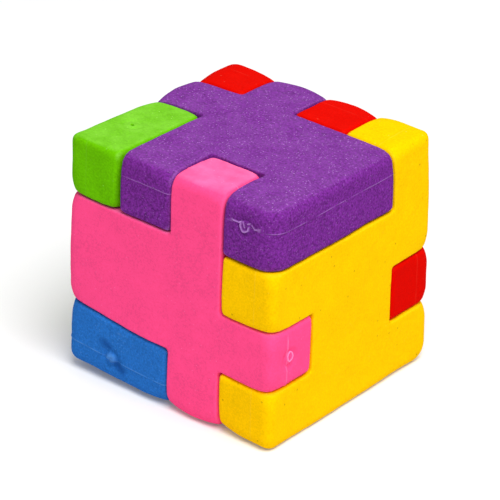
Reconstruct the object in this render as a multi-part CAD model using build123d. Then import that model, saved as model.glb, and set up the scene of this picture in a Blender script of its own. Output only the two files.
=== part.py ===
"""Cube puzzle eraser: six flat rubber panels whose notched edges lock into a hollow cube.

Every panel lies on one face of the cube and is as thick as the squares along the cube's edges.
A panel keeps the two by two squares in the middle of its face. Each square round them belongs to
this panel or to one of its neighbours, so that the tabs of one panel fill the notches of the next.
The cube stands on its bottom panel, centred on the origin, with the pink panel facing -Y.
"""
import os

from build123d import *

# Driving dimensions, in millimetres
panel_thickness = 8.0        # every panel, and so the depth of the squares along the cube's edges
tab_width = 8.0              # each of the two middle squares along a side
joint_gap = 0.12             # clearance between the walls of neighbouring panels
cube_edge_radius = 1.25      # edges of a panel's outer face where they run along the cube's edges
tab_corner_radius = 0.5      # most corners of the outline, seen square on to the panel
wide_corner_radius = 2.6     # corners that the moulds round more
middle_corner_radius = 1.8
slight_corner_radius = 0.8
seam_break = 0.08            # bevel of the outer face's edges, where two panels meet flush
inner_break = 0.35           # bevel of the inner face's edges
gate_dish_diameter = 3.2     # shallow dish in the outline's wall, where the rubber entered the mould
gate_dish_depth = 0.3
gate_dish_slope = 0.7        # width of the dish's sloping rim
gate_nub_diameter = 1.4      # stub of the gate that stands in the dish
gate_nub_clearance = 0.05    # how far the stub's top stays below the wall
gate_depth = 2.9             # from the outer face to the middle of most gates
deep_gate_depth = 3.6        # the same for the pink and the green gate

# Lines between the squares along one side of the cube, from one outer face to the other
lines = [0.0, panel_thickness]
lines += [lines[-1] + tab_width, lines[-1] + 2 * tab_width]
lines += [lines[-1] + panel_thickness]
side = lines[-1]
half = side / 2
squares = range(len(lines) - 1)
end = len(lines) - 1

# Each panel as it is seen from outside the cube, with its top row first.
# A # is a square of this panel and a dot is a square that a neighbour's tab fills.
# The first plane axis points right in that view. Corners are named by the column and the row of
# their lines, counted from the bottom left, and those that aren't listed are tab corners.
# A gate is on the named side of the outline, at a distance along it from the view's left or bottom.
panels = {
    "purple_top_piece": {
        "face": Plane(origin=(-half, -half, side), x_dir=(1, 0, 0), z_dir=(0, 0, 1)),
        "rows": (".#..", "####", ".###", ".#.#"),
        "corners": {(end, 0): wide_corner_radius},
        "gate_wall": "low",
        "gate_along": (lines[3] + lines[4]) / 2,
        "gate_shift": -0.5,
        "gate_depth": gate_depth,
    },
    "pink_front_piece": {
        "face": Plane(origin=(-half, -half, 0), x_dir=(1, 0, 0), z_dir=(0, -1, 0)),
        "rows": ("..#.", "###.", "####", "..#."),
        "corners": {(end, 1): slight_corner_radius},
        "gate_wall": "right",
        "gate_along": (lines[1] + lines[2]) / 2,
        "gate_shift": -0.2,
        "gate_depth": deep_gate_depth,
    },
    "yellow_right_piece": {
        "face": Plane(origin=(half, -half, 0), x_dir=(0, 1, 0), z_dir=(1, 0, 0)),
        "rows": ("...#", "####", ".##.", "####"),
        "corners": {
            (0, 0): middle_corner_radius,
            (end, 0): wide_corner_radius,
            (end, end): slight_corner_radius,
        },
        "gate_wall": "right",
        "gate_along": (lines[2] + lines[3]) / 2,
        "gate_shift": 0.0,
        "gate_depth": gate_depth,
    },
    "red_back_piece": {
        "face": Plane(origin=(half, half, 0), x_dir=(-1, 0, 0), z_dir=(0, 1, 0)),
        "rows": (".#.#", ".###", "###.", "..#."),
        "corners": {(end, end): wide_corner_radius},
        "gate_wall": "right",
        "gate_along": (lines[2] + lines[3]) / 2,
        "gate_shift": 0.0,
        "gate_depth": gate_depth,
    },
    "green_left_piece": {
        "face": Plane(origin=(-half, half, 0), x_dir=(0, -1, 0), z_dir=(-1, 0, 0)),
        "rows": ("..##", ".##.", "###.", "..#."),
        "corners": {(end, end): slight_corner_radius},
        "gate_wall": "high",
        "gate_along": lines[3],
        "gate_shift": 0.2,
        "gate_depth": deep_gate_depth,
    },
    "blue_bottom_piece": {
        "face": Plane(origin=(-half, half, 0), x_dir=(1, 0, 0), z_dir=(0, 0, -1)),
        "rows": ("##..", ".##.", "###.", "#.#."),
        "corners": {(0, 0): middle_corner_radius, (0, end): middle_corner_radius},
        "gate_wall": "high",
        "gate_along": lines[1],
        "gate_shift": -0.7,
        "gate_depth": gate_depth,
    },
}


def owned(rows, column, row):
    """Tell whether a square belongs to the panel, with row 0 at the bottom of the view."""
    return column in squares and row in squares and rows[-1 - row][column] == "#"


def on_cube_corner(column, row):
    """Tell whether a corner of the outline lies on one of the cube's own edges."""
    return column in (0, end) and row in (0, end)


def outward_corners(rows):
    """List the crossings of the lines where the outline turns outwards."""
    for column in range(len(lines)):
        for row in range(len(lines)):
            around = [owned(rows, column - i, row - j) for i in (0, 1) for j in (0, 1)]
            if sum(around) == 1:
                yield column, row


def notched_outline(rows, corners):
    """Draw the panel's outline with its tabs and notches, set back by half of the joint gap."""
    # the two outermost lines stand out by the set-back, so that the cube's faces stay flush
    edges = [lines[0] - joint_gap / 2, *lines[1:-1], lines[-1] + joint_gap / 2]
    outline = Sketch()
    for column in squares:
        for row in squares:
            if owned(rows, column, row):
                width = edges[column + 1] - edges[column]
                height = edges[row + 1] - edges[row]
                square = Rectangle(width, height, align=(Align.MIN, Align.MIN))
                outline += Pos(edges[column], edges[row]) * square
    outline = offset(outline, amount=-joint_gap / 2, kind=Kind.INTERSECTION)
    for column, row in outward_corners(rows):
        if not on_cube_corner(column, row):
            place = Vector(lines[column], lines[row], 0)
            corner = outline.vertices().sort_by_distance(place)[0]
            outline = fillet(corner, corners.get((column, row), tab_corner_radius))
    return outline


def rounded_slab(rows, corners, depth):
    """Make the slab that rounds a panel where it meets the cube's edges."""
    slab = Box(side, side, depth, align=(Align.MIN, Align.MIN, Align.MAX))
    for column, row in outward_corners(rows):
        if on_cube_corner(column, row):
            place = Vector(lines[column], lines[row], -depth / 2)
            upright = slab.edges().filter_by(Axis.Z).sort_by_distance(place)[0]
            slab = fillet(upright, corners.get((column, row), tab_corner_radius))
    return fillet(slab.faces().sort_by(Axis.Z)[-1].edges(), cube_edge_radius)


def gate_plane(wall, along, depth):
    """Place the gate on the outline's wall, facing out of it."""
    return {
        "low": Plane(origin=(along, 0, -depth), x_dir=(1, 0, 0), z_dir=(0, -1, 0)),
        "high": Plane(origin=(along, side, -depth), x_dir=(1, 0, 0), z_dir=(0, 1, 0)),
        "left": Plane(origin=(0, along, -depth), x_dir=(0, 1, 0), z_dir=(-1, 0, 0)),
        "right": Plane(origin=(side, along, -depth), x_dir=(0, 1, 0), z_dir=(1, 0, 0)),
    }[wall]


def gate_mark():
    """Make the cut that the gate leaves: a dish with a sloping rim, round the stub that stays."""
    rim_radius = gate_dish_diameter / 2
    floor_radius = rim_radius - gate_dish_slope
    dish = Cone(floor_radius, rim_radius, gate_dish_depth, align=(Align.CENTER, Align.CENTER, Align.MAX))
    nub_height = gate_dish_depth - gate_nub_clearance
    nub = Cylinder(gate_nub_diameter / 2, nub_height, align=(Align.CENTER, Align.CENTER, Align.MIN))
    return dish - Pos(0, 0, -gate_dish_depth) * nub


def moulded_panel(panel):
    """Build one panel in its own frame, with its outer face at Z 0 and its inside below."""
    depth = panel_thickness - joint_gap / 2
    blank = extrude(notched_outline(panel["rows"], panel["corners"]), amount=-depth)
    blank = chamfer(blank.faces().sort_by(Axis.Z)[-1].edges(), seam_break)
    blank = chamfer(blank.faces().sort_by(Axis.Z)[0].edges(), inner_break)
    blank = blank & rounded_slab(panel["rows"], panel["corners"], depth)
    along = panel["gate_along"] + panel["gate_shift"]
    gate = gate_plane(panel["gate_wall"], along, panel["gate_depth"])
    return (blank - gate.location * gate_mark()).solid()


os.makedirs("parts", exist_ok=True)
for name, panel in panels.items():
    piece = panel["face"].location * moulded_panel(panel)
    piece.label = name
    export_step(piece, f"parts/{name}.step")
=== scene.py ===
"""Looks of the puzzle cube eraser: six rubber panels pushed together, standing on a pale floor.

Each panel is a soft, slightly uneven net over its solid, with the moulded finish, the dust, the
parting line and the gate scar of a real rubber panel. Blender's lengths are metres, so a length
here is a number of millimetres times MM, or its comment says that it is in millimetres.
"""
import math

import bmesh
import bpy
import numpy as np
from mathutils import Matrix, Vector


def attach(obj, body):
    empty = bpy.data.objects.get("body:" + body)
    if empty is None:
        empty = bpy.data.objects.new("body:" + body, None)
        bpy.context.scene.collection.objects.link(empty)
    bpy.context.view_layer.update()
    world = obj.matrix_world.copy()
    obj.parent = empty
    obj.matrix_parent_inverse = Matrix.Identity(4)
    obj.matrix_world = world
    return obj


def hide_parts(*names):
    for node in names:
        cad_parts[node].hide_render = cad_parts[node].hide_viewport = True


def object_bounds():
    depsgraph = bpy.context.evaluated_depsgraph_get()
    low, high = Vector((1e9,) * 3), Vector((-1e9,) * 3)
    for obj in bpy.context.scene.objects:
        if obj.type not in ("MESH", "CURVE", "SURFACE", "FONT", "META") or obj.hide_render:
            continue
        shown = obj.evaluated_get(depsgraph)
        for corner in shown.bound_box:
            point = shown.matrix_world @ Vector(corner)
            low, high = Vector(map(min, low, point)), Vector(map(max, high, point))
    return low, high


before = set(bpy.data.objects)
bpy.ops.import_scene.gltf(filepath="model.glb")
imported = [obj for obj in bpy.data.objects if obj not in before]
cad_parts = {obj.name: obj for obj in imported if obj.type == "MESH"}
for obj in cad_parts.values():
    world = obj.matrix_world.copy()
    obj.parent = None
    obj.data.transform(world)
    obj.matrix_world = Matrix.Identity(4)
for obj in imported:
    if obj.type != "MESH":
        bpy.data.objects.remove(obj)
cad_low, cad_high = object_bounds()

MM = 0.001
CENTRE = (cad_low + cad_high) / 2
HALF_SIDE = (cad_high.x - cad_low.x) / 2

# Net of a panel's skin
NET_SIZE = 0.2 * MM             # faces of the net
MERGE_REACH = 0.001 * MM        # vertices of the solid this close together become one
ON_WALL = 1.0 * MM              # net this close to a gate's wall belongs to it
SCAR_REACH = 1.9 * MM           # how far from a gate the net is finer
FINE_CUTS = 2                   # cuts that make it finer

# Softening, by easing steps that each move a vertex halfway to the mean of its neighbours
SEAM_SOFTENING = 5              # steps that round every edge a little
TAB_SOFTENING = 6               # steps that round a tab's corners on the cube's edges
TAB_SOFT_REACH = 1.5 * MM       # from the cube's edges
BLUNT_SOFTENING = 40            # steps that round a panel's blunt corners
BLUNT_REACH = 2.4 * MM          # from such a corner
EDGE_SPREAD = 8                 # steps that tell edges from flat places
EDGE_FROM = 0.040 * MM          # how deep these steps sink an edge that starts to be rubbed
EDGE_FULL = 0.09 * MM           # and one that is fully exposed to rubbing

# Cushion shape of the tabs along the cube's edges
EDGE_BAND = 1.3 * MM            # net this close to a cube's edge belongs to it
TAB_GAP = 1.0 * MM              # a longer gap in that net lies between two tabs
AT_CORNER = 1.0 * MM            # a tab's end this close to the cube's corner isn't at a seam
END_SLACK = 0.5 * MM            # how far past its end on the edge a tab may reach
SEAM_SINK = 0.60 * MM           # how deep a tab's end sinks at a seam
LEVEL_SINK = 3.8 * MM           # how far from the seam it does so, along the cube's level edges
UPRIGHT_SINK = 2.2 * MM         # the same along its upright edges
SINK_REACH = 4.0 * MM           # from the edge, over the faces beside it
TAB_CROWN = 0.12 * MM           # how far a tab's middle stands proud

# A wall that stands back from its neighbour
LOOSE_REACH = 1.2 * MM          # from the seam, over the panel
LOOSE_DEPTH = 2.0 * MM          # from the outer face, into the seam

# Lean of the soft cube as it was pushed together, at its corners, in millimetres.
# A corner is named by the sides that it is on: left or right, front or back, bottom or top.
CORNER_LEAN = {
    (-1, -1, -1): (-0.20, 0.15, 0.70),
    (-1, -1, 1): (-0.10, 0.15, 0.25),
    (-1, 1, 1): (-0.15, -0.30, -0.30),
    (1, -1, -1): (0.35, -0.05, 0.0),
    (1, -1, 1): (-0.05, 0.0, 0.0),
    (1, 1, -1): (0.30, 0.30, 0.0),
    (1, 1, 1): (-0.15, -0.25, -0.25),
}

# Single places that were pushed further: place, reach and shift, in millimetres
PUSHED = (
    ((-16, -16, 8), 8.5, (0.0, 0.0, 1.05)),
    ((16, 12, 8), 7.0, (0.0, 0.0, 0.40)),
    ((-16, 13, 32), 8.0, (-0.62, -0.10, 0.05)),
    ((-16, -1, 32), 9.0, (0.0, 0.0, -0.25)),
    ((16, 16, 32), 8.0, (-0.35, -0.28, 0.0)),
)

# Unevenness of moulded soft rubber: waves of a length, a height and a number
SWELLS = ((9.0 * MM, 0.050 * MM, 14), (1.8 * MM, 0.010 * MM, 40))

# Flash line left where the two halves of the mould met
PARTING_HALF_WIDTH = 0.14 * MM
PARTING_HEIGHT = 0.07 * MM
CUT_SNAP = 0.01 * MM            # net this close to the parting plane is moved onto its cut
ON_LINE = 0.02 * MM             # and this close to the plane it is the line's ridge
LINE_BREAKS = (2.5 * MM, 12)    # length and number of the waves that break the line up
LINE_MEAN = 0.8                 # strength of the line without these waves
LINE_CHANGE = 0.6               # and how far they take it up and down
LINE_PALENESS = 0.6             # how torn the line looks where it is at its strongest

# Gate scar
TORN_HEIGHT = 0.16              # mm, from which a dent's painted shade is at its darkest
PIT_DEPTH = 0.12                # mm, from which a dent is at its darkest

# Patterns of the rubber, in cells a millimetre. The mould's blasting is some 0.05 mm fine, which
# doesn't show, so its grain is drawn at over a quarter of a millimetre. A cloud is 2.5 mm wide.
CLOUDS_PER_MM = 0.4
GRAINS_PER_MM = 3.6
CRUMBS_PER_MM = 0.6
NOISE_SPAN = {"From Min": 0.3, "From Max": 0.7}

# Specks of dust: their spacing and radius in millimetres, and how pale they get. Real dust is
# finer, and is drawn as coarse as it needs to be to show.
FINE_DUST = {"spacing": 0.30, "radius": 0.10, "strength": 0.70}
COARSE_DUST = {"spacing": 0.80, "radius": 0.14, "strength": 0.60}
COARSE_SHARE = 0.35             # of the share of cells that have a fine speck
UPRIGHT_DUST = 0.35             # how pale specks are on upright faces, where 1 is on upward ones

# Where dust settles and the painted sheen lies, by how far up a face looks: 0 is sideways and 1 is
# straight up
SPECKS_SETTLE = {"From Min": 0.75, "From Max": 0.98}
DUST_AND_SHEEN_FACING = {"From Min": 0.72, "From Max": 0.97}
FILM_IN_CLOUDS = {"From Min": 0.35, "From Max": 0.65, "To Min": 0.6, "To Max": 1.4}

# Dirt and wear, and the painted shade in dents
CRUMB_RIM = 0.11                # of a cell, where a dark crumb begins
CRUMB_CORE = 0.03               # and where it is at its darkest
CRUMB_DARKNESS = 0.45
DIRT = "#4A2C10"
TORN_PALENESS = 0.75            # how pale torn rubber and the flash line get
DENT_SHADE_DARKNESS = 0.6            # how dark the painted shade in dents gets

# Sheen: the index of soft vinyl, with the mirroring turned down to match a blasted, dusty skin
VINYL_IOR = 1.5
SKIN_ROUGHNESS = 0.9
SKIN_MIRRORING = 0.02

# Light and camera, set to match the photograph. Angles are azimuth and elevation in degrees.
PAPER = "#EAEAEA"
PAPER_HALF_WIDTH = 2000 * MM
PAPER_GLOW = 0.12               # added where the camera sees the floor, so that it is white
ROOM_STRENGTH = 0.42            # of the white room's light on the cube
SOFTBOX_ANGLES = (60, 64)
SOFTBOX_DISTANCE = 600 * MM
SOFTBOX_SIZE = 400 * MM
SOFTBOX_POWER = 4.0             # watts
CAMERA_ANGLES = (37.67, 27.68)
CAMERA_ROLL = 2.27              # degrees
CAMERA_TARGET = Vector((0.03, -0.06, 15.88)) * MM
CAMERA_DISTANCE = 407.3 * MM
LENS = 236.7                    # mm, for a sensor of the width below
SENSOR_WIDTH = 36               # mm


def linear(code):
    """Turn an sRGB hex colour into the linear values that Blender's sockets take."""
    channels = [int(code[i:i + 2], 16) / 255 for i in (1, 3, 5)]
    return [c / 12.92 if c <= 0.04045 else ((c + 0.055) / 1.055) ** 2.4 for c in channels] + [1.0]


def add(tree, kind, inputs=(), **settings):
    """Add a node, give it its settings, and fill its inputs with values or with other outputs."""
    made = tree.nodes.new(kind)
    for name, value in settings.items():
        setattr(made, name, value)
    for socket, value in dict(inputs).items():
        if isinstance(value, bpy.types.NodeSocket):
            tree.links.new(value, made.inputs[socket])
        else:
            made.inputs[socket].default_value = value
    return made


def new_material(name):
    """Start an empty node material and return it with its tree."""
    made = bpy.data.materials.new(name)
    made.use_nodes = True
    made.node_tree.nodes.clear()
    return made, made.node_tree


def mottled_colour(tree, in_mm, look):
    """Mottle the rubber's colour, and return it with the clouds and the grain that do it."""
    cloud = add(tree, "ShaderNodeTexNoise", {
        "Vector": in_mm, "Scale": CLOUDS_PER_MM, "Detail": 4.0, "Roughness": 0.6}).outputs["Fac"]
    grain = add(tree, "ShaderNodeTexNoise", {
        "Vector": in_mm, "Scale": GRAINS_PER_MM, "Detail": 2.0, "Roughness": 0.7}).outputs["Fac"]
    cloud_shade = add(tree, "ShaderNodeMapRange", {
        "Value": cloud, "To Min": -look["cloud"], "To Max": look["cloud"], **NOISE_SPAN})
    grain_shade = add(tree, "ShaderNodeMapRange", {
        "Value": grain, "To Min": 1 - look["grain"], "To Max": 1 + look["grain"], **NOISE_SPAN})
    shade = add(tree, "ShaderNodeMath", {
        0: cloud_shade.outputs[0], 1: grain_shade.outputs[0]}, operation="ADD")
    body = add(tree, "ShaderNodeVectorMath", {
        0: linear(look["base"])[:3], "Scale": shade.outputs[0]}, operation="SCALE")
    return body.outputs[0], cloud, grain


def dust_specks(tree, in_mm, share, spacing, radius, strength):
    """Draw a round speck in a share of the cells, each one paler or fainter than the next."""
    cells = add(tree, "ShaderNodeTexVoronoi", {"Vector": in_mm, "Scale": 1 / spacing})
    dot = add(tree, "ShaderNodeMapRange", {
        "Value": cells.outputs["Distance"],
        "From Min": radius / spacing, "From Max": 0.5 * radius / spacing})
    draw = add(tree, "ShaderNodeSeparateColor", {"Color": cells.outputs["Color"]})
    chosen = add(tree, "ShaderNodeMath", {0: draw.outputs[0], 1: share}, operation="LESS_THAN")
    paleness = add(tree, "ShaderNodeMath", {0: draw.outputs[1], 1: strength}, operation="MULTIPLY")
    speck = add(tree, "ShaderNodeMath", {
        0: dot.outputs[0], 1: chosen.outputs[0]}, operation="MULTIPLY")
    return add(tree, "ShaderNodeMath", {
        0: speck.outputs[0], 1: paleness.outputs[0]}, operation="MULTIPLY").outputs[0]


def dust_and_painted_sheen(tree, in_mm, look, edge, cloud):
    """Settle pale specks of dust, lay a thin pale film on upward faces that is part dust and part
    painted sheen, and return how pale each makes it.
    """
    fine = dust_specks(tree, in_mm, look["dust"], **FINE_DUST)
    coarse = dust_specks(tree, in_mm, look["dust"] * COARSE_SHARE, **COARSE_DUST)
    both = add(tree, "ShaderNodeMath", {0: fine, 1: coarse}, operation="ADD")

    # more specks on upward faces and on edges
    normal = add(tree, "ShaderNodeNewGeometry").outputs["Normal"]
    upward = add(tree, "ShaderNodeSeparateXYZ", {"Vector": normal}).outputs["Z"]
    lying = add(tree, "ShaderNodeMapRange", {
        "Value": upward, "To Min": UPRIGHT_DUST, "To Max": 1.0, **SPECKS_SETTLE})
    caught = add(tree, "ShaderNodeMath", {0: lying.outputs[0], 1: edge}, operation="MAXIMUM")
    speck = add(tree, "ShaderNodeMath", {
        0: both.outputs[0], 1: caught.outputs[0]}, operation="MULTIPLY")

    # the film lies on upward faces only, thicker in the clouds: part settled dust, part a painted
    # sheen that lightens the top faces
    laid = add(tree, "ShaderNodeMapRange", {
        "Value": upward, "To Min": 0.0, "To Max": look["dust_and_sheen"], **DUST_AND_SHEEN_FACING})
    patchy = add(tree, "ShaderNodeMapRange", {"Value": cloud, **FILM_IN_CLOUDS})
    dust_and_sheen = add(tree, "ShaderNodeMath", {
        0: laid.outputs[0], 1: patchy.outputs[0]}, operation="MULTIPLY")
    return speck.outputs[0], dust_and_sheen.outputs[0]


def dirt_crumbs(tree, in_mm, share):
    """Draw a dark crumb in a share of the cells. Only those that reach the surface show."""
    cells = add(tree, "ShaderNodeTexVoronoi", {"Vector": in_mm, "Scale": CRUMBS_PER_MM})
    dot = add(tree, "ShaderNodeMapRange", {
        "Value": cells.outputs["Distance"],
        "From Min": CRUMB_RIM, "From Max": CRUMB_CORE, "To Max": CRUMB_DARKNESS})
    draw = add(tree, "ShaderNodeSeparateColor", {"Color": cells.outputs["Color"]})
    chosen = add(tree, "ShaderNodeMath", {0: draw.outputs[0], 1: share}, operation="LESS_THAN")
    return add(tree, "ShaderNodeMath", {
        0: dot.outputs[0], 1: chosen.outputs[0]}, operation="MULTIPLY").outputs[0]


def moulded_rubber(name, look):
    """Soft vinyl rubber from a blasted steel mould: dead matt, finely mottled, dusty with use, with
    a painted sheen on upward faces and painted shade in its dents.
    """
    made, tree = new_material(name)
    where = add(tree, "ShaderNodeTexCoord").outputs["Object"]
    in_mm = add(tree, "ShaderNodeMapping", {"Vector": where, "Scale": (1 / MM,) * 3}).outputs[0]
    edge, torn, dent_shade_mask = (
        add(tree, "ShaderNodeAttribute", attribute_name=measure).outputs["Fac"]
        for measure in ("edge", "torn", "dent_shade_mask"))
    body, cloud, grain = mottled_colour(tree, in_mm, look)
    # pale specks of dust, and a pale film on upward faces that is part dust and part painted sheen
    speck, dust_and_sheen = dust_and_painted_sheen(tree, in_mm, look, edge, cloud)

    # rubbed edges and torn flash are paler, and the grain breaks the edges up
    rub = add(tree, "ShaderNodeMath", {0: edge, 1: grain}, operation="MULTIPLY").outputs[0]
    rubbed = add(tree, "ShaderNodeMath", {0: rub, 1: look["rub"]}, operation="MULTIPLY").outputs[0]
    flash = add(tree, "ShaderNodeMath", {
        0: torn, 1: TORN_PALENESS}, operation="MULTIPLY").outputs[0]
    pale = add(tree, "ShaderNodeMath", {0: dust_and_sheen, 1: speck}, operation="ADD").outputs[0]
    for layer in (rubbed, flash):
        pale = add(tree, "ShaderNodeMath", {0: pale, 1: layer}, operation="MAXIMUM").outputs[0]

    # over the rubber's own colour: what is pale (dust, painted sheen, rubbed edges, torn flash),
    # then crumbs of dirt, then the painted shade in the dents
    crumb = dirt_crumbs(tree, in_mm, look["dirt"])
    dent_shade = add(tree, "ShaderNodeMath", {
        0: dent_shade_mask, 1: DENT_SHADE_DARKNESS}, operation="MULTIPLY").outputs[0]
    colour = body
    for amount, code in ((pale, look["pale"]), (crumb, DIRT), (dent_shade, look["dent_shade"])):
        colour = add(tree, "ShaderNodeMix", {
            "Factor": amount, 6: colour, 7: linear(code)}, data_type="RGBA").outputs[2]

    height = add(tree, "ShaderNodeMath", {0: grain, 1: speck}, operation="ADD")
    bump = add(tree, "ShaderNodeBump", {
        "Height": height.outputs[0], "Strength": 1.0, "Distance": look["bump"] * MM})
    shader = add(tree, "ShaderNodeBsdfPrincipled", {
        "Base Color": colour, "Normal": bump.outputs[0], "Roughness": SKIN_ROUGHNESS,
        "IOR": VINYL_IOR, "Specular IOR Level": SKIN_MIRRORING})
    add(tree, "ShaderNodeOutputMaterial", {"Surface": shader.outputs[0]})
    return made


def skin_net(node):
    """Cover a panel's solid with an even net of small faces, which can take unevenness."""
    solid = bpy.data.meshes.new_from_object(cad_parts[node])
    merged = bmesh.new()
    merged.from_mesh(solid)
    bmesh.ops.remove_doubles(merged, verts=merged.verts, dist=MERGE_REACH)
    merged.to_mesh(solid)
    merged.free()
    solid.materials.clear()
    holder = bpy.data.objects.new("net_holder", solid)
    bpy.context.scene.collection.objects.link(holder)
    remesh = holder.modifiers.new("net", "REMESH")
    remesh.mode = "VOXEL"
    remesh.voxel_size = NET_SIZE
    remesh.use_smooth_shade = True
    shown = holder.evaluated_get(bpy.context.evaluated_depsgraph_get())
    net = bpy.data.meshes.new_from_object(shown)
    bpy.data.objects.remove(holder)
    return net


def gate_wall(look):
    """Find the place of the wall that a panel's gate is on, along its axis."""
    axis, facing, _ = look["wall"]
    return (cad_low if facing < 0 else cad_high)[axis]


def refine_gate(mesh, look):
    """Make the net finer round the gate, on its wall only."""
    axis, _, across = look["wall"]
    wall = gate_wall(look)
    net = bmesh.new()
    net.from_mesh(mesh)
    close = []
    for edge in net.edges:
        place = (edge.verts[0].co + edge.verts[1].co) / 2
        away = math.hypot(*(place[i] - at * MM for i, at in zip(across, look["gate"])))
        if abs(place[axis] - wall) < ON_WALL and away < SCAR_REACH:
            close.append(edge)
    bmesh.ops.subdivide_edges(net, edges=close, cuts=FINE_CUTS, use_grid_fill=True)
    net.to_mesh(mesh)
    net.free()


def cut_parting_line(mesh, look):
    """Cut the net along the parting plane and beside it, and return the plane's place."""
    axis = look["axis"]
    outer = (cad_low if look["out"] < 0 else cad_high)[axis]
    parting = outer - look["out"] * look["parting"] * MM
    normal = Vector([1.0 if i == axis else 0.0 for i in range(3)])
    net = bmesh.new()
    net.from_mesh(mesh)
    for shift in (-PARTING_HALF_WIDTH, 0.0, PARTING_HALF_WIDTH):
        bmesh.ops.bisect_plane(
            net, geom=[*net.verts, *net.edges, *net.faces], dist=CUT_SNAP,
            plane_co=normal * (parting + shift), plane_no=normal)
    net.to_mesh(mesh)
    net.free()
    return parting


def read_net(mesh):
    """Read a mesh's places, normals and edges as arrays."""
    places = np.zeros(len(mesh.vertices) * 3)
    mesh.vertices.foreach_get("co", places)
    normals = np.zeros(len(mesh.vertices) * 3)
    mesh.vertices.foreach_get("normal", normals)
    pairs = np.zeros(len(mesh.edges) * 2, np.int64)
    mesh.edges.foreach_get("vertices", pairs)
    return places.reshape(-1, 3), normals.reshape(-1, 3), pairs.reshape(-1, 2)


def ease(places, pairs, steps, weight=1.0):
    """Move each vertex halfway to the mean of its neighbours, again and again."""
    counts = np.bincount(pairs.ravel(), minlength=len(places)).astype(float)
    for _ in range(steps):
        total = np.zeros_like(places)
        for axis in range(3):
            total[:, axis] += np.bincount(pairs[:, 0], places[pairs[:, 1], axis], len(places))
            total[:, axis] += np.bincount(pairs[:, 1], places[pairs[:, 0], axis], len(places))
        places = places + 0.5 * weight * (total / counts[:, None] - places)
    return places


def fade(distance, reach):
    """Fall evenly from one at no distance to zero at the reach."""
    return np.clip(1 - distance / reach, 0, 1)


def cube_edge_distance(places):
    """Measure how far each place is from the nearest of the cube's twelve edges."""
    inward = np.sort(HALF_SIDE - np.abs(places - np.array(CENTRE)), axis=1)
    return np.hypot(inward[:, 0], inward[:, 1])


def on_gate_wall(places, look):
    """Tell which places belong to the wall that the gate is on."""
    return np.abs(places[:, look["wall"][0]] - gate_wall(look)) < ON_WALL


def soften(places, pairs, look):
    """Round every edge a little, and the tabs, the gate and the blunt corners more."""
    near_edge = fade(cube_edge_distance(places), TAB_SOFT_REACH)
    soft = ease(places, pairs, SEAM_SOFTENING)
    soft = ease(soft, pairs, TAB_SOFTENING, near_edge[:, None])
    from_gate = np.linalg.norm(soft[:, look["wall"][2]] - np.array(look["gate"]) * MM, axis=1)
    at_gate = (from_gate < SCAR_REACH) & on_gate_wall(soft, look)
    soft = ease(soft, pairs, look["gate_ease"], at_gate[:, None])
    for corner in look.get("blunt", ()):
        near = fade(np.linalg.norm(soft - np.array(corner) * MM, axis=1), BLUNT_REACH)
        soft = ease(soft, pairs, BLUNT_SOFTENING, near[:, None])
    return soft


def exposed_edges(soft, normals, pairs):
    """Tell how exposed each place is to rubbing, by how deep more easing would sink it."""
    sunk = -((ease(soft, pairs, EDGE_SPREAD) - soft) * normals).sum(1)
    return np.clip((sunk - EDGE_FROM) / (EDGE_FULL - EDGE_FROM), 0, 1)


def tab_ends(along):
    """Find where a panel's tabs begin and end along one of the cube's edges."""
    along = np.sort(along)
    breaks = np.flatnonzero(np.diff(along) > TAB_GAP)
    return zip(along[[0, *(breaks + 1)]], along[[*breaks, -1]])


def tab_sink(along, start, stop, length):
    """Tell how deep a tab sinks along a cube's edge. Where it is below zero, it stands proud."""
    to_start = along - start if start > AT_CORNER - HALF_SIDE else np.inf
    to_stop = stop - along if stop < HALF_SIDE - AT_CORNER else np.inf
    share = np.clip(np.minimum(to_start, to_stop) / length, 0, 1)
    on_tab = (along > start - END_SLACK) & (along < stop + END_SLACK)
    return (SEAM_SINK * (1 - share) ** 2 - TAB_CROWN * share) * on_tab


def cushion_tabs(places):
    """Sink the tabs' ends towards the seams on the cube's edges, and crown their middles."""
    sunk = np.zeros_like(places)
    from_centre = places - np.array(CENTRE)
    for axis in range(3):
        beside = [i for i in range(3) if i != axis]
        length = UPRIGHT_SINK if axis == 2 else LEVEL_SINK
        for sides in ((-1, -1), (-1, 1), (1, -1), (1, 1)):
            inward = [HALF_SIDE - side * from_centre[:, i] for i, side in zip(beside, sides)]
            away = np.hypot(*inward)
            band = away < EDGE_BAND
            if not band.any():
                continue
            for start, stop in tab_ends(from_centre[band, axis]):
                sink = tab_sink(from_centre[:, axis], start, stop, length)
                sink *= fade(away, SINK_REACH) ** 2
                for i, side in zip(beside, sides):
                    sunk[:, i] -= side * sink / math.sqrt(2)
    return places + sunk


def stand_back(places, look):
    """Open a seam by moving the wall back from its neighbour near an outer face."""
    if "loose" not in look:
        return places
    axis, wall, push, face_axis, face = look["loose"]
    near_wall = fade(np.abs(places[:, axis] - wall * MM), LOOSE_REACH)
    near_face = fade(np.abs(places[:, face_axis] - face * MM), LOOSE_DEPTH)
    places = places.copy()
    places[:, axis] += push * MM * near_wall * near_face
    return places


def lean(places):
    """Shift places with the cube's corners, and with the pushed places near them."""
    share = (places - np.array(CENTRE)) / HALF_SIDE
    moved = places.copy()
    for corner, shift in CORNER_LEAN.items():
        weight = np.prod((1 + share * np.array(corner)) / 2, axis=1)
        moved += weight[:, None] * np.array(shift) * MM
    for place, reach, shift in PUSHED:
        away = np.linalg.norm(places - np.array(place) * MM, axis=1)
        moved += np.exp(-(away / (reach * MM)) ** 2)[:, None] * np.array(shift) * MM
    return moved


def wave(places, drawn, length, count):
    """Add up sine waves of random directions and of about one length."""
    total = np.zeros(len(places))
    for _ in range(count):
        direction = drawn.normal(size=3)
        stretched = length * drawn.uniform(0.7, 1.5)
        direction *= 2 * math.pi / (np.linalg.norm(direction) * stretched)
        total += np.sin(places @ direction + drawn.uniform(0, 2 * math.pi)) / math.sqrt(count)
    return total


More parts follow.
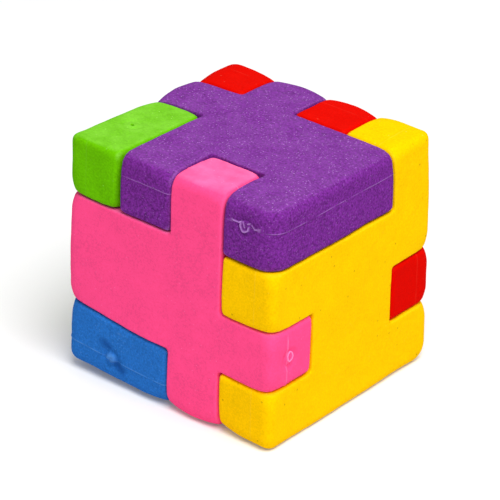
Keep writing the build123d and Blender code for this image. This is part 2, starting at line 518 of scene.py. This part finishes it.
def swell(places, drawn):
    """Make moulded rubber slightly uneven."""
    return sum(height * wave(places, drawn, length, count) for length, height, count in SWELLS)


def stroke_distance(flat, points):
    """Measure how far each flat place is from a line through the points."""
    nearest = np.full(len(flat), np.inf)
    for start, stop in zip(points[:-1], points[1:]):
        start, step = np.array(start) * MM, (np.array(stop) - np.array(start)) * MM
        share = np.clip((flat - start) @ step / (step @ step), 0, 1)
        away = np.linalg.norm(flat - start - share[:, None] * step, axis=1)
        nearest = np.minimum(nearest, away)
    return nearest


def gate_scar(soft, look):
    """Draw the gate's strokes on its wall, and return their lift, their torn rubber and the painted
    shade in their dents.
    """
    lift, torn, dent_shade_mask = np.zeros((3, len(soft)))
    flat = soft[:, look["wall"][2]]
    on_wall = on_gate_wall(soft, look)
    for points, half_width, height in look["strokes"]:
        raised = np.exp(-(stroke_distance(flat, points) / (half_width * MM)) ** 2) * on_wall
        lift += raised * height * MM
        torn = np.maximum(torn, raised * np.clip(height / TORN_HEIGHT, 0, look["tear"]))
        # a stroke that sinks gets painted shade, darker the deeper it sinks
        dent_shade_mask = np.maximum(dent_shade_mask, raised * np.clip(-height / PIT_DEPTH, 0, 1))
    return lift, torn, dent_shade_mask


def ring(centre, radius, turns, start):
    """List points on an arc, in millimetres, for a stroke. The start is in radians."""
    steps = 14
    angles = [start + turns * 2 * math.pi * i / steps for i in range(steps + 1)]
    return [(centre[0] + radius * math.cos(a), centre[1] + radius * math.sin(a)) for a in angles]


# What each panel looks like, with places and lengths in millimetres:
# - "base" is the rubber's colour, "pale" that of its dust, painted sheen and torn places,
#   "dent_shade" that of the shade painted in its dents.
# - "cloud" and "grain" say how strongly they shade the colour, "dust" and "dirt" how many of their
#   cells have a speck or a crumb, "dust_and_sheen" and "rub" how pale the film on upward faces
#   (part dust, part painted sheen) and the edges are, and "bump" how high the grain is.
# - "axis" and "out" give the outer face, "parting" how far the flash line is from it, and "line"
#   how strong the line is.
# - "wall" gives the gate's wall by its axis, its side and the two axes of its flat places, and
#   "gate" the gate's flat place. "gate_ease" is the number of easing steps round it, and "tear" the
#   most that its rubber looks torn. Each of the "strokes" has points, a half width and a height.
# - "blunt" lists corners that are rounder than the others. "loose" has the axis and the place of a
#   wall that stands back, how far it does, and the axis and the place of the face where it shows.
LOOKS = {
    "purple_top_piece": {
        "base": "#702988", "pale": "#C894E0", "dent_shade": "#3A1050",
        "cloud": 0.03, "grain": 0.45, "dust": 0.55, "dust_and_sheen": 0.07,
        "rub": 0.60, "dirt": 0.0, "bump": 0.035,
        "axis": 2, "out": 1, "parting": 2.8, "line": 1.0,
        "wall": (1, -1, (0, 2)), "gate": (11.5, 29.1), "gate_ease": 0, "tear": 1.0,
        "strokes": (
            (((9.4, 29.45), (9.9, 29.42), (10.5, 29.3), (10.9, 29.5)), 0.08, 0.16),
            (((10.9, 29.55), (10.8, 29.1), (10.95, 28.7), (11.15, 28.45),
              (11.55, 28.5), (11.95, 28.8), (12.0, 29.15)), 0.095, 0.24),
            (((11.15, 29.6), (11.4, 29.0)), 0.10, 0.12),
            (((11.85, 29.55), (12.1, 29.65)), 0.09, 0.14),
            (((12.35, 29.55), (12.65, 29.4), (12.9, 29.25),
              (13.4, 29.4), (13.65, 29.5), (13.6, 29.2)), 0.08, 0.14),
        ),
    },
    "pink_front_piece": {
        "base": "#FF4C8A", "pale": "#FF9CD6", "dent_shade": "#C02050",
        "cloud": 0.05, "grain": 0.09, "dust": 0.05, "dust_and_sheen": 0.22,
        "rub": 0.24, "dirt": 0.0, "bump": 0.02,
        "axis": 1, "out": -1, "parting": 3.1, "line": 0.8, "blunt": ((0, -8, 32), (8, -8, 32)),
        "wall": (0, 1, (1, 2)), "gate": (-12.25, 12.1), "gate_ease": 12, "tear": 1.0,
        "strokes": (
            (((-12.8, 12.2), (-12.6, 12.5), (-12.3, 12.65), (-11.95, 12.4), (-11.85, 11.95),
              (-12.1, 11.6), (-12.5, 11.45), (-12.75, 11.7), (-12.8, 12.2)), 0.09, 0.16),
            (((-12.9, 14.5), (-12.85, 12.5)), 0.09, 0.10),
            (((-12.85, 11.4), (-12.9, 10.2)), 0.09, 0.06),
        ),
    },
    "yellow_right_piece": {
        "base": "#F9C500", "pale": "#FFE060", "dent_shade": "#A06A00",
        "cloud": 0.04, "grain": 0.09, "dust": 0.03, "dust_and_sheen": 0.0,
        "rub": 0.14, "dirt": 1.0, "bump": 0.02,
        "axis": 0, "out": 1, "parting": 2.8, "line": 0.25,
        "wall": (1, 1, (0, 2)), "gate": (13.1, 20.0), "gate_ease": 0, "tear": 0.6,
        "strokes": ((ring((13.1, 20.0), 0.55, 0.8, 0.6), 0.12, 0.2),),
    },
    "red_back_piece": {
        "base": "#D60600", "pale": "#FF6A50", "dent_shade": "#7A0400",
        "cloud": 0.02, "grain": 0.07, "dust": 0.01, "dust_and_sheen": 0.01,
        "rub": 0.08, "dirt": 0.0, "bump": 0.015,
        "axis": 1, "out": 1, "parting": 2.8, "line": 0.3,
        "wall": (0, -1, (1, 2)), "gate": (13.1, 20.0), "gate_ease": 0, "tear": 0.6,
        "strokes": ((ring((13.1, 20.0), 0.55, 0.7, 2.0), 0.12, 0.2),),
    },
    "green_left_piece": {
        "base": "#66BA04", "pale": "#BCF07A", "dent_shade": "#2E6400",
        "cloud": 0.08, "grain": 0.14, "dust": 0.04, "dust_and_sheen": 0.13,
        "rub": 0.45, "dirt": 0.0, "bump": 0.02,
        "axis": 0, "out": -1, "parting": 2.8, "line": 0.12, "loose": (0, -8.0, -0.55, 1, -16.0),
        "blunt": ((-8, 0, 32), (-8, -16, 24)),
        "wall": (2, 1, (0, 1)), "gate": (-12.4, -8.2), "gate_ease": 40, "tear": 0.5,
        "strokes": (
            (((-12.55, -8.2), (-12.3, -8.35)), 0.13, -0.30),
            (ring((-12.2, -8.5), 0.38, 0.45, -1.2), 0.09, 0.04),
            (((-12.9, -7.1), (-11.8, -7.8), (-11.0, -8.6)), 0.16, 0.03),
        ),
    },
    "blue_bottom_piece": {
        "base": "#276EC0", "pale": "#6FA8E6", "dent_shade": "#0E3A80",
        "cloud": 0.05, "grain": 0.22, "dust": 0.60, "dust_and_sheen": 0.05,
        "rub": 0.16, "dirt": 0.0, "bump": 0.025,
        "axis": 2, "out": -1, "parting": 2.8, "line": 1.0,
        "wall": (1, -1, (0, 2)), "gate": (-8.7, 2.9), "gate_ease": 4, "tear": 0.45,
        "strokes": (
            (((-9.1, 2.9), (-8.8, 3.2), (-8.35, 3.1),
              (-8.3, 2.75), (-8.6, 2.65), (-8.7, 2.9)), 0.32, 0.24),
            (((-9.9, 4.4), (-9.4, 4.3)), 0.62, -0.11),
            (((-7.9, 2.2), (-7.0, 1.9)), 0.60, -0.15),
            (((-7.6, 6.9), (-7.15, 6.8)), 0.10, 0.05),
        ),
    },
}


def finish_skin(mesh, look, parting, seed):
    """Soften the net, raise the flash line and the scar, and give the skin its shape and wear."""
    places, normals, pairs = read_net(mesh)
    on_line = np.abs(places[:, look["axis"]] - parting) < ON_LINE
    soft = soften(places, pairs, look)
    drawn = np.random.default_rng(seed)
    uneven = swell(soft, drawn)
    broken = np.clip(LINE_MEAN + LINE_CHANGE * wave(soft, drawn, *LINE_BREAKS), 0, 1)
    line = look["line"] * broken * on_line
    scar, torn, dent_shade_mask = gate_scar(soft, look)

    lift = uneven + PARTING_HEIGHT * line + scar
    shaped = lean(cushion_tabs(stand_back(soft, look)) + normals * lift[:, None])
    mesh.vertices.foreach_set("co", shaped.ravel())
    measures = {
        "edge": exposed_edges(soft, normals, pairs),
        "torn": np.maximum(torn, LINE_PALENESS * line),
        # painted shade in the scar's dents
        "dent_shade_mask": dent_shade_mask,
    }
    for name, values in measures.items():
        attribute = mesh.attributes.new(name, "FLOAT", "POINT")
        attribute.data.foreach_set("value", values.astype(np.float32))
    mesh.update()


def make_panel(node, look, seed):
    """Make one panel's skin in place of its solid."""
    name = node.replace("_piece", "_rubber")
    mesh = skin_net(node)
    refine_gate(mesh, look)
    parting = cut_parting_line(mesh, look)
    finish_skin(mesh, look, parting, seed)
    mesh.name = name
    mesh.materials.clear()
    mesh.materials.append(moulded_rubber("moulded_" + name, look))
    mesh.polygons.foreach_set("material_index", [0] * len(mesh.polygons))
    mesh.shade_smooth()
    piece = bpy.data.objects.new(name, mesh)
    bpy.context.scene.collection.objects.link(piece)
    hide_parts(node)
    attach(piece, "root")


def seen_straight(tree, unseen, seen):
    """Give one value to camera, mirror and glass rays and another to the light on the object."""
    path = add(tree, "ShaderNodeLightPath")
    ray = path.outputs["Is Camera Ray"]
    for kind in ("Is Glossy Ray", "Is Transmission Ray"):
        ray = add(tree, "ShaderNodeMath", {
            0: ray, 1: path.outputs[kind]}, operation="MAXIMUM").outputs[0]
    return add(tree, "ShaderNodeMapRange", {
        "Value": ray, "To Min": unseen, "To Max": seen}).outputs[0]


def make_floor():
    """Lay a matt paper sheet, which the camera sees as white round the cube's shadow."""
    net = bmesh.new()
    bmesh.ops.create_grid(net, x_segments=1, y_segments=1, size=PAPER_HALF_WIDTH)
    mesh = bpy.data.meshes.new("floor")
    net.to_mesh(mesh)
    net.free()
    floor = bpy.data.objects.new("floor", mesh)
    bpy.context.scene.collection.objects.link(floor)
    paper, tree = new_material("matt_white_paper")
    sheet = add(tree, "ShaderNodeBsdfDiffuse", {"Color": linear(PAPER)})
    glow = add(tree, "ShaderNodeEmission", {"Strength": seen_straight(tree, 0.0, PAPER_GLOW)})
    both = add(tree, "ShaderNodeAddShader", {0: sheet.outputs[0], 1: glow.outputs[0]})
    add(tree, "ShaderNodeOutputMaterial", {"Surface": both.outputs[0]})
    mesh.materials.append(paper)


def back_towards(azimuth, elevation):
    """Point from the cube to a camera or lamp, with azimuth 0 in front and 90 on the right."""
    a, e = math.radians(azimuth), math.radians(elevation)
    return Vector((math.sin(a) * math.cos(e), -math.cos(a) * math.cos(e), math.sin(e)))


def make_light():
    """Light the cube with a white room and one large softbox above it on the right."""
    world = bpy.data.worlds.new("white_room")
    world.use_nodes = True
    bpy.context.scene.world = world
    tree = world.node_tree
    tree.nodes.clear()
    sky = add(tree, "ShaderNodeBackground", {
        "Color": (1, 1, 1, 1), "Strength": seen_straight(tree, ROOM_STRENGTH, 1.0)})
    add(tree, "ShaderNodeOutputWorld", {"Surface": sky.outputs[0]})

    box = bpy.data.lights.new("softbox", "AREA")
    box.shape = "SQUARE"
    box.size = SOFTBOX_SIZE
    box.energy = SOFTBOX_POWER
    lamp = bpy.data.objects.new("softbox", box)
    bpy.context.scene.collection.objects.link(lamp)
    back = back_towards(*SOFTBOX_ANGLES)
    lamp.location = CENTRE + back * SOFTBOX_DISTANCE
    lamp.rotation_mode = "QUATERNION"
    lamp.rotation_quaternion = (-back).to_track_quat("-Z", "Y")


def make_camera():
    """Look at the cube as the photograph does."""
    data = bpy.data.cameras.new("camera")
    data.lens = LENS
    data.sensor_width = SENSOR_WIDTH
    data.clip_start = 10 * MM
    camera = bpy.data.objects.new("camera", data)
    bpy.context.scene.collection.objects.link(camera)
    back = back_towards(*CAMERA_ANGLES)
    camera.location = CAMERA_TARGET + back * CAMERA_DISTANCE
    level = (-back).to_track_quat("-Z", "Y").to_matrix().to_4x4()
    turned = level @ Matrix.Rotation(math.radians(CAMERA_ROLL), 4, "Z")
    camera.rotation_mode = "QUATERNION"
    camera.rotation_quaternion = turned.to_quaternion()
    bpy.context.scene.camera = camera
    bpy.context.scene.view_settings.view_transform = "Standard"


for seed, (node, look) in enumerate(LOOKS.items()):
    make_panel(node, look, seed)
make_floor()
make_light()
make_camera()
